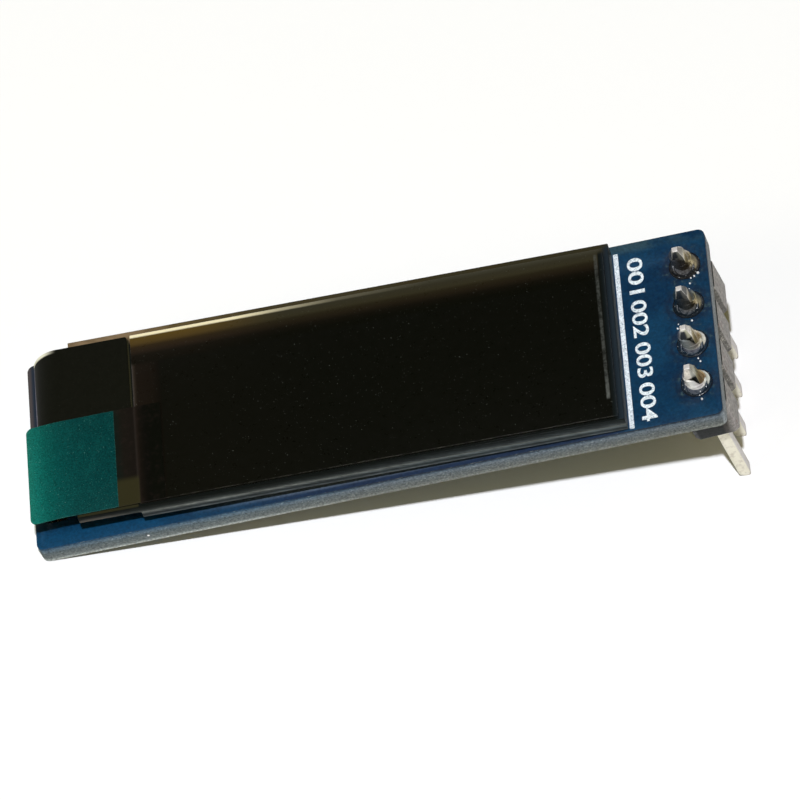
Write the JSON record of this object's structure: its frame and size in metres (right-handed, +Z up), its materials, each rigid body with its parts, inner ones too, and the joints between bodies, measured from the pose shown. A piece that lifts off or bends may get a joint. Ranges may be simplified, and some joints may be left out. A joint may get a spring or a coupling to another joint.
{
  "type": "small oled display module",
  "caption": "Small display module: a narrow blue circuit board carrying a glass panel with a pull tab, its flex folded through a slot, and a leaning pin header.",
  "frame": {"origin": "middle of the resting module's box, on the table", "axes": "+X from the flex end towards the header end, level; +Y across the board towards its back long edge; +Z up from the table"},
  "size_m": [0.0388, 0.012, 0.0107],
  "materials": {
    "solder_mask": "glossy blue mask over glass epoxy",
    "tinned_copper": "tinned",
    "header_plastic": "moulded",
    "plated_pin": "plated",
    "solder": "bright with flux",
    "panel_glass": "polished",
    "seal": "cured adhesive",
    "emitter": "thin film",
    "drying_sheet": "matt",
    "polarizer": "glossy",
    "clear_film": "glossy",
    "teal_film": "satin",
    "die": "ground silicon",
    "black_tape": "satin",
    "flex_film": "satin",
    "foam": "foam",
    "copper": "copper",
    "black_mould": "moulded",
    "capacitor_ceramic": "fired",
    "resistor_ceramic": "glazed",
    "tin_plate": "matt tin"
  },
  "bodies": {
    "root": {"circuit_board": "solder_mask", "hole_plating": "tinned_copper", "header_housing": "header_plastic", "pin_1": "plated_pin", "pin_2": "plated_pin", "pin_3": "plated_pin", "pin_4": "plated_pin", "solder_joint_1": "solder", "solder_joint_2": "solder", "solder_joint_3": "solder", "solder_joint_4": "solder", "front_glass": "panel_glass", "rear_glass": "panel_glass", "edge_seal": "seal", "emitting_layer": "emitter", "drying_sheet": "drying_sheet", "polarizer": "polarizer", "protective_film": "clear_film", "pull_tab": "teal_film", "tab_adhesive": "clear_film", "driver_chip": "die", "light_shield_tape": "black_tape", "flex": "flex_film", "panel_adhesive": "foam", "flex_lands": "copper", "flex_solder": "solder", "regulator_body": "black_mould", "regulator_leads": "tin_plate", "capacitor_bodies": "capacitor_ceramic", "capacitor_ends": "tin_plate", "resistor_bodies": "resistor_ceramic", "resistor_ends": "tin_plate", "component_solder": "solder"}
  },
  "joints": []
}
